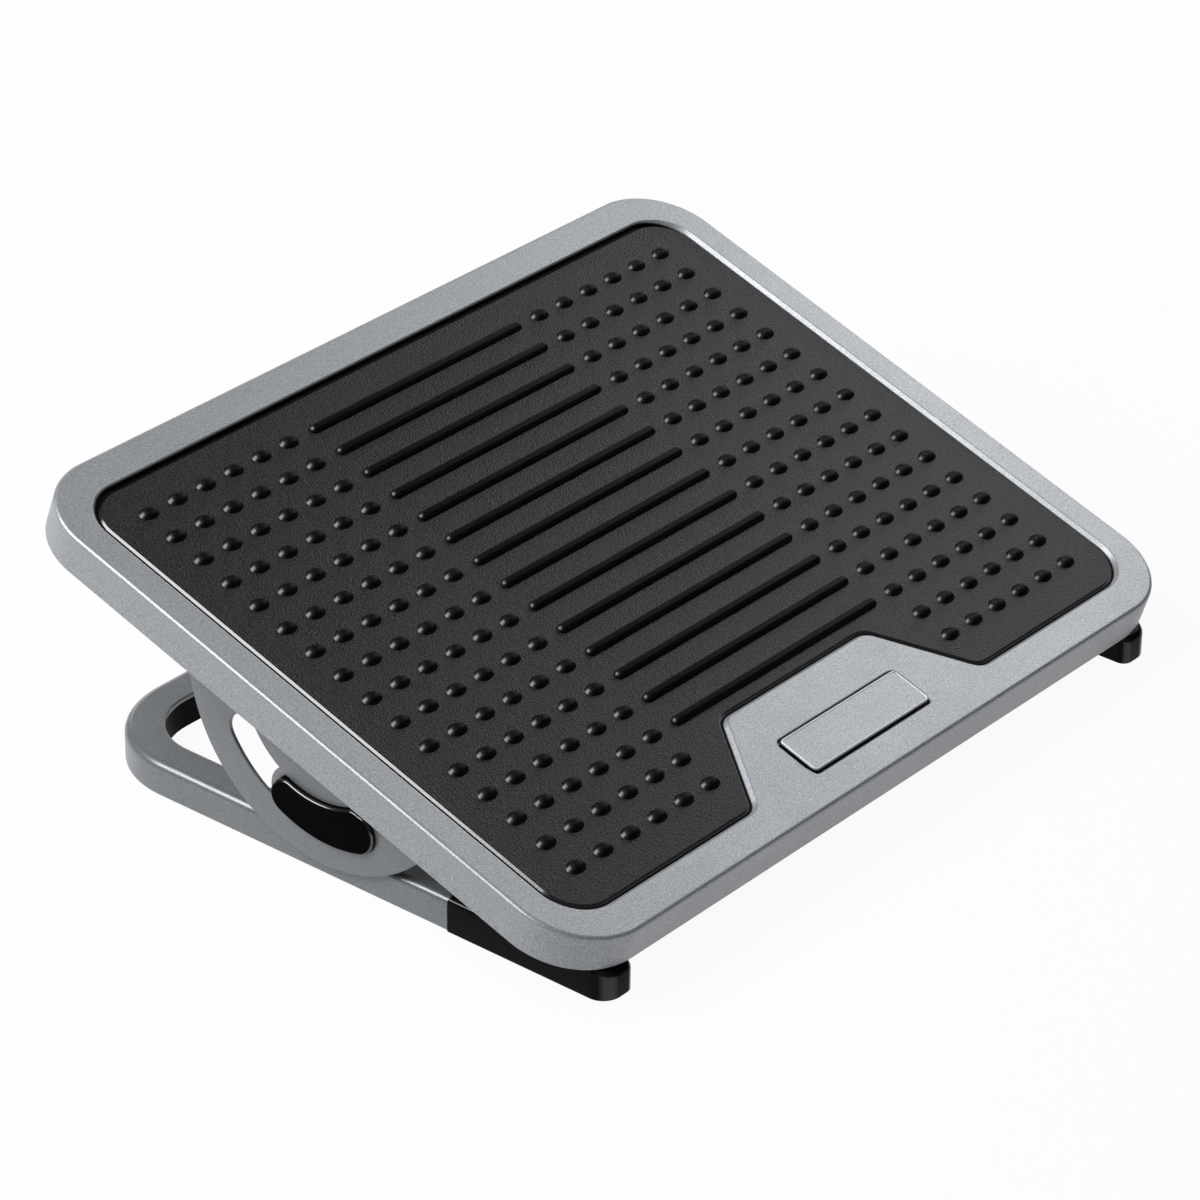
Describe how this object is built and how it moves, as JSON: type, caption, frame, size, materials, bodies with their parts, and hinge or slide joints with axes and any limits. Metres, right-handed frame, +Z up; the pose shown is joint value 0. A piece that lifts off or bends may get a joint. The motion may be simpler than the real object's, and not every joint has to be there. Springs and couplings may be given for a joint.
{
  "type": "under-desk footrest",
  "caption": "Tilting under-desk footrest: a grey tray with a bumpy rubber foot mat rocks on slotted side brackets over a U-shaped base with rubber boots.",
  "frame": {"origin": "on the floor, under the middle of the footrest's box at rest", "axes": "+X to the user's right, +Y to the rear (away from the user), +Z up"},
  "size_m": [0.4506, 0.3397, 0.1444],
  "materials": {
    "tray_plastic": "satin moulded plastic with a fine silver speckle",
    "mat_rubber": "soft rubber with a fine leather-like grain",
    "badge_plastic": "satin moulded plastic, left bare",
    "bracket_steel": "silver-grey satin paint on folded sheet steel",
    "cover_plastic": "satin silver-grey moulded plastic",
    "core_plastic": "black moulded plastic",
    "upright_plastic": "grey moulded plastic",
    "pad_plastic": "grey low-wear plastic",
    "guide_plastic": "glossy black acetal",
    "boot_rubber": "satin black rubber",
    "screw_steel": "zinc-plated steel"
  },
  "bodies": {
    "base": {"base_core": "core_plastic", "base_cover": "cover_plastic", "left_upright": "upright_plastic", "right_upright": "upright_plastic", "left_friction_pad": "pad_plastic", "right_friction_pad": "pad_plastic", "left_guide_block": "guide_plastic", "right_guide_block": "guide_plastic", "guide_screws": "screw_steel", "upright_screws": "screw_steel", "left_front_boot": "boot_rubber", "right_front_boot": "boot_rubber", "boot_screws": "screw_steel", "left_rear_foot": "boot_rubber", "right_rear_foot": "boot_rubber"},
    "tray": {"tray_shell": "tray_plastic", "foot_mat": "mat_rubber", "badge_plate": "badge_plastic", "left_tilt_bracket": "bracket_steel", "right_tilt_bracket": "bracket_steel", "bracket_screws": "screw_steel"}
  },
  "joints": [
    {"name": "tray_tilt", "type": "hinge", "parent": "base", "child": "tray", "pos_m": [0, -0.00261, 0.0867], "axis": [1, 0, 0], "range_deg": [-37, 0]}
  ]
}
